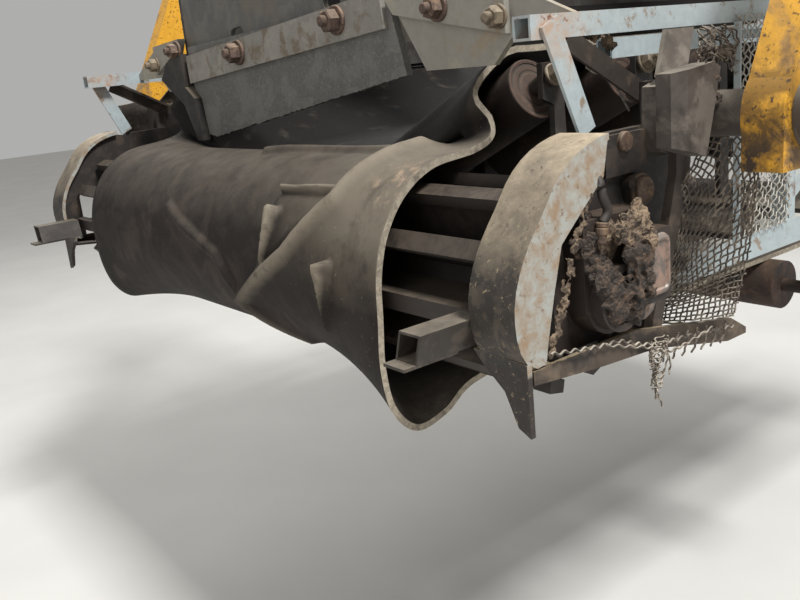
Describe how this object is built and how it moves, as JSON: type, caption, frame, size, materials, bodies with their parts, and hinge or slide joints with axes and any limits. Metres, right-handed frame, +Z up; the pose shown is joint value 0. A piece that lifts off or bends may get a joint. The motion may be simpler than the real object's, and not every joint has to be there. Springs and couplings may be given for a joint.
{
  "type": "conveyor tail section",
  "caption": "Tail end of a troughed discharge conveyor: wing drum, slack belt, side frames and hopper, hung by trunnions in a slewing yoke.",
  "frame": {"origin": "centre of the slewing boss's bore, on the boss's top face", "axes": "+Z up along the slewing bore, +X along the conveyor away from the tail drum, +Y to the far side"},
  "size_m": [1.52, 1.508, 0.9017],
  "materials": {
    "yoke_yellow": "worn mustard yellow paint",
    "frame_blue": "chipped pale blue-grey paint",
    "dark_steel": "dark grey paint under dust",
    "raw_steel": "worn steel with dirt",
    "rust": "rusty steel",
    "rubber": "dusty black rubber",
    "bronze": "bronze bush",
    "wire": "galvanised woven wire",
    "guard": "grey-blue paint worn to brown"
  },
  "bodies": {
    "yoke": {"yoke_beam": "yoke_yellow", "yoke_arm_near": "yoke_yellow", "yoke_arm_far": "yoke_yellow", "trunnion_bush_near": "bronze", "trunnion_bush_far": "bronze"},
    "conveyor": {"side_frame_near": "frame_blue", "side_frame_far": "frame_blue", "lattice_near": "frame_blue", "lattice_far": "frame_blue", "side_plate_near": "dark_steel", "side_plate_far": "dark_steel", "trunnion_near": "raw_steel", "trunnion_far": "raw_steel", "cross_tube_front": "frame_blue", "cross_tube_rear": "frame_blue", "tail_guard_near": "guard", "tail_guard_far": "guard", "guard_brace_near": "frame_blue", "guard_brace_far": "frame_blue", "corner_brace_near": "raw_steel", "corner_brace_far": "raw_steel", "lower_angle_near": "raw_steel", "lower_angle_far": "raw_steel", "outer_post_near": "raw_steel", "outer_post_far": "raw_steel", "nose_stub_near": "raw_steel", "nose_stub_far": "raw_steel", "mesh_guard_near": "wire", "mesh_guard_far": "wire", "bearing_near": "rust", "bearing_far": "rust", "takeup_screw_near": "raw_steel", "takeup_screw_far": "raw_steel", "belt": "rubber", "idler_frame_1": "dark_steel", "idler_frame_2": "dark_steel", "idler_frame_3": "dark_steel", "idler_frame_4": "dark_steel", "idler_rollers_1": "rust", "idler_rollers_2": "rust", "idler_rollers_3": "rust", "idler_rollers_4": "rust", "return_roller": "rust", "return_bracket_near": "dark_steel", "return_bracket_far": "dark_steel", "hopper_back": "dark_steel", "hopper_side_near": "dark_steel", "hopper_side_far": "dark_steel", "hopper_bracket_near": "dark_steel", "hopper_bracket_far": "dark_steel", "skirt_back": "rubber", "skirt_clamp": "rust", "skirt_corner_far": "raw_steel", "side_skirt_near": "rubber", "side_skirt_far": "rubber"},
    "tail_drum": {"tail_drum": "raw_steel"}
  },
  "joints": [
    {"name": "trunnion_pivot", "type": "hinge", "parent": "yoke", "child": "conveyor", "pos_m": [-0.23438, 0, -0.545], "axis": [0, -1, 0], "range_deg": [-5, 30]},
    {"name": "drum_spin", "type": "hinge", "parent": "conveyor", "child": "tail_drum", "pos_m": [-0.37238, 0, -0.7], "axis": [0, 1, 0], "continuous": true}
  ]
}
